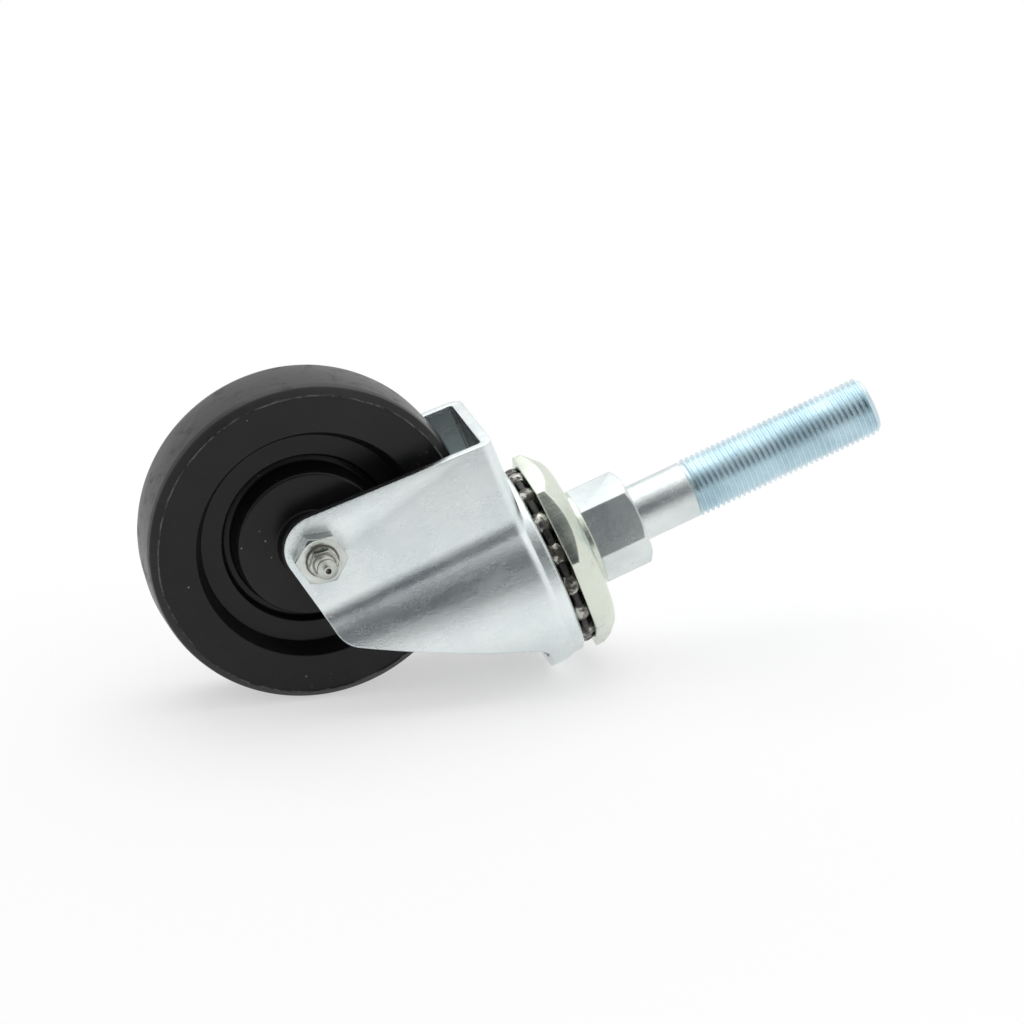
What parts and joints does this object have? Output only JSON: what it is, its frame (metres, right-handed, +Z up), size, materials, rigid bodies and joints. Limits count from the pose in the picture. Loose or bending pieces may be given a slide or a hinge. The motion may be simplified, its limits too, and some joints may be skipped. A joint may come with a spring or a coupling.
{
  "type": "levelling castor",
  "caption": "Levelling swivel castor: threaded stem with a hexagonal collar, octagonal ball race, pressed fork, greased axle and a solid rubber wheel.",
  "frame": {"origin": "on the swivel axis at the lower end of the stem's thread", "axes": "+Z up the threaded stem, wheel trailing to -X, axle along Y with its nut and grease nipple on the -Y side"},
  "size_m": [0.1251, 0.0696, 0.2298],
  "materials": {
    "bright_zinc": "bright zinc plate, faint blue",
    "race_zinc": "zinc plate with a pale yellow-green passivate",
    "fork_zinc": "bright zinc plate on rolled sheet",
    "nipple_plating": "zinc plate, greasy",
    "ball_steel": "hardened steel under dark grease",
    "greased_steel": "steel under dark grease",
    "hard_rubber": "moulded hard rubber, scuffed"
  },
  "bodies": {
    "stem": {"threaded_stem": "bright_zinc", "top_race": "race_zinc", "lower_race": "greased_steel", "kingpin_nut": "greased_steel"},
    "upper_ball_ring": {"upper_ball_01": "ball_steel", "upper_ball_02": "ball_steel", "upper_ball_03": "ball_steel", "upper_ball_04": "ball_steel", "upper_ball_05": "ball_steel", "upper_ball_06": "ball_steel", "upper_ball_07": "ball_steel", "upper_ball_08": "ball_steel", "upper_ball_09": "ball_steel", "upper_ball_10": "ball_steel", "upper_ball_11": "ball_steel", "upper_ball_12": "ball_steel", "upper_ball_13": "ball_steel", "upper_ball_14": "ball_steel", "upper_ball_15": "ball_steel", "upper_ball_16": "ball_steel"},
    "lower_ball_ring": {"lower_ball_01": "ball_steel", "lower_ball_02": "ball_steel", "lower_ball_03": "ball_steel", "lower_ball_04": "ball_steel", "lower_ball_05": "ball_steel", "lower_ball_06": "ball_steel", "lower_ball_07": "ball_steel", "lower_ball_08": "ball_steel", "lower_ball_09": "ball_steel", "lower_ball_10": "ball_steel"},
    "fork": {"fork": "fork_zinc", "axle_bolt": "bright_zinc", "axle_nut": "bright_zinc", "grease_nipple": "nipple_plating", "nipple_spring": "ball_steel", "spanner_bushing": "greased_steel", "thrust_washer_near": "greased_steel", "thrust_washer_far": "greased_steel"},
    "nipple_check": {"nipple_ball": "ball_steel"},
    "wheel": {"wheel": "hard_rubber", "bearing_sleeve": "greased_steel"},
    "roller_cage": {"roller_cage": "greased_steel", "bearing_roller_01": "ball_steel", "bearing_roller_02": "ball_steel", "bearing_roller_03": "ball_steel", "bearing_roller_04": "ball_steel", "bearing_roller_05": "ball_steel", "bearing_roller_06": "ball_steel", "bearing_roller_07": "ball_steel", "bearing_roller_08": "ball_steel"}
  },
  "joints": [
    {"name": "swivel", "type": "hinge", "parent": "stem", "child": "fork", "pos_m": [0, 0, -0.0489], "axis": [0, 0, 1], "continuous": true},
    {"name": "upper_ball_orbit", "type": "hinge", "parent": "stem", "child": "upper_ball_ring", "pos_m": [0, 0, -0.0489], "axis": [0, 0, 1], "continuous": true},
    {"name": "lower_ball_orbit", "type": "hinge", "parent": "stem", "child": "lower_ball_ring", "pos_m": [0, 0, -0.0565], "axis": [0, 0, 1], "continuous": true},
    {"name": "wheel_spin", "type": "hinge", "parent": "fork", "child": "wheel", "pos_m": [-0.0423, 0, -0.1155], "axis": [0, 1, 0], "continuous": true},
    {"name": "roller_orbit", "type": "hinge", "parent": "fork", "child": "roller_cage", "pos_m": [-0.0423, 0, -0.1155], "axis": [0, 1, 0], "continuous": true},
    {"name": "nipple_check_slide", "type": "slide", "parent": "fork", "child": "nipple_check", "axis": [0, 1, 0], "range_m": [0, 0.0009], "stiffness_N_per_m": 300, "springref_m": -0.001, "deforming": ["nipple_spring"]}
  ],
  "couplings": [
    {"joint": "upper_ball_orbit", "follows": "swivel", "ratio": 0.5},
    {"joint": "lower_ball_orbit", "follows": "swivel", "ratio": 0.5},
    {"joint": "roller_orbit", "follows": "wheel_spin", "ratio": 0.5971}
  ]
}
